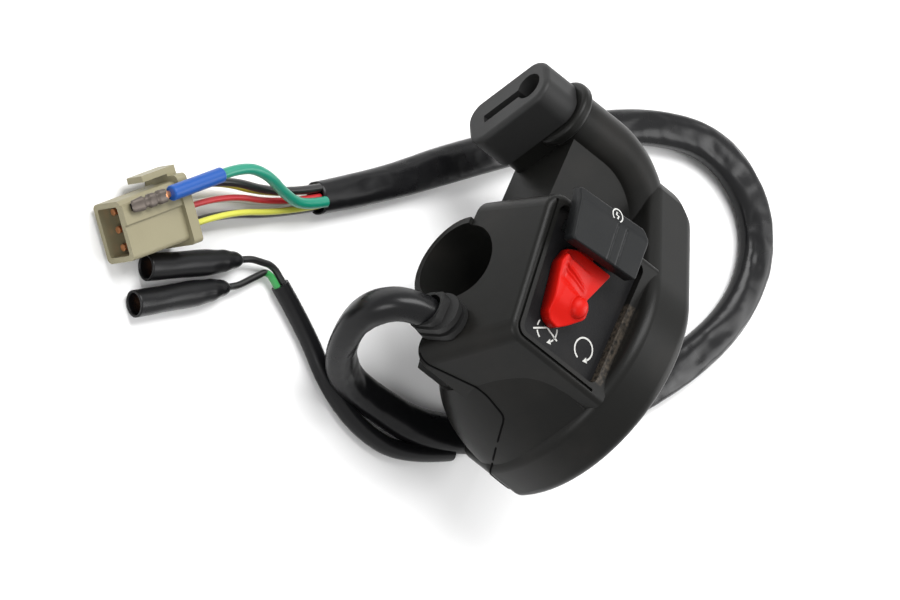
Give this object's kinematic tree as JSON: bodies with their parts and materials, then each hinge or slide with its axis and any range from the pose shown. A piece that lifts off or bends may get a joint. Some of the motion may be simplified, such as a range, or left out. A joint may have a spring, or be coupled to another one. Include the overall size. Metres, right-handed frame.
{
  "type": "handlebar switch cluster",
  "caption": "Right-hand handlebar housing with start button, run and stop lever, throttle tube drum, cable elbow and a sleeved wiring harness with connector.",
  "frame": {"origin": "on the handlebar's axis, in the plane of the switch box's inner end", "axes": "+X along the handlebar towards the grip, +Y up the switch panel towards the start button and the cable elbow, +Z out of the panel, away from the table it lies on"},
  "size_m": [0.1934, 0.1445, 0.0653],
  "materials": {
    "housing": "satin black moulded shell",
    "cap": "dull dark grey",
    "lever": "red",
    "control": "satin dark grey",
    "contact": "copper alloy",
    "carrier": "brown insulating board",
    "steel": "zinc plated",
    "rubber": "dull black",
    "sleeve": "glossy black vinyl",
    "connector": "cream nylon",
    "blue": "blue vinyl",
    "green": "green insulation",
    "red": "red insulation",
    "yellow": "yellow insulation",
    "white": "white insulation",
    "green_yellow": "green and yellow insulation",
    "black": "black insulation"
  },
  "bodies": {
    "housing": {"front_shell": "housing", "rear_shell": "housing", "cable_cap": "cap", "switch_panel": "housing", "contact_carrier": "carrier", "start_contact_pads": "contact", "kill_contact_studs": "contact", "start_spring": "steel", "detent_spring": "steel", "detent_ball": "steel", "carrier_screws": "steel", "housing_screws": "steel", "grommet": "rubber", "harness_sleeve": "sleeve", "branch_sleeve": "sleeve", "switch_leads": "black", "connector_housing": "connector", "connector_pins": "contact", "insulator_sleeve": "blue", "crimp_terminal": "steel", "wire_green": "green", "wire_red": "red", "wire_yellow": "yellow", "wire_white": "white", "wire_green_yellow": "green_yellow", "wire_black_upper": "black", "wire_black_lower": "black", "bullet_sleeve_a": "rubber", "bullet_sleeve_b": "rubber", "bullet_terminal_a": "contact", "bullet_terminal_b": "contact", "bullet_lead_a": "black", "bullet_lead_b": "green_yellow"},
    "start_button": {"start_button": "control", "start_contact_bridge": "contact"},
    "kill_lever": {"kill_lever": "lever", "kill_rotor": "carrier", "kill_contact_ring": "contact", "kill_lever_screw": "steel"}
  },
  "joints": [
    {"name": "start_press", "type": "slide", "parent": "housing", "child": "start_button", "axis": [0, 0, -1], "range_m": [0, 0.0022], "stiffness_N_per_m": 800, "springref_m": -0.001, "deforming": ["start_spring"]},
    {"name": "kill_turn", "type": "hinge", "parent": "housing", "child": "kill_lever", "pos_m": [0.0205, 0.012, 0.022], "axis": [0, 0, 1], "range_deg": [0, 36]}
  ]
}
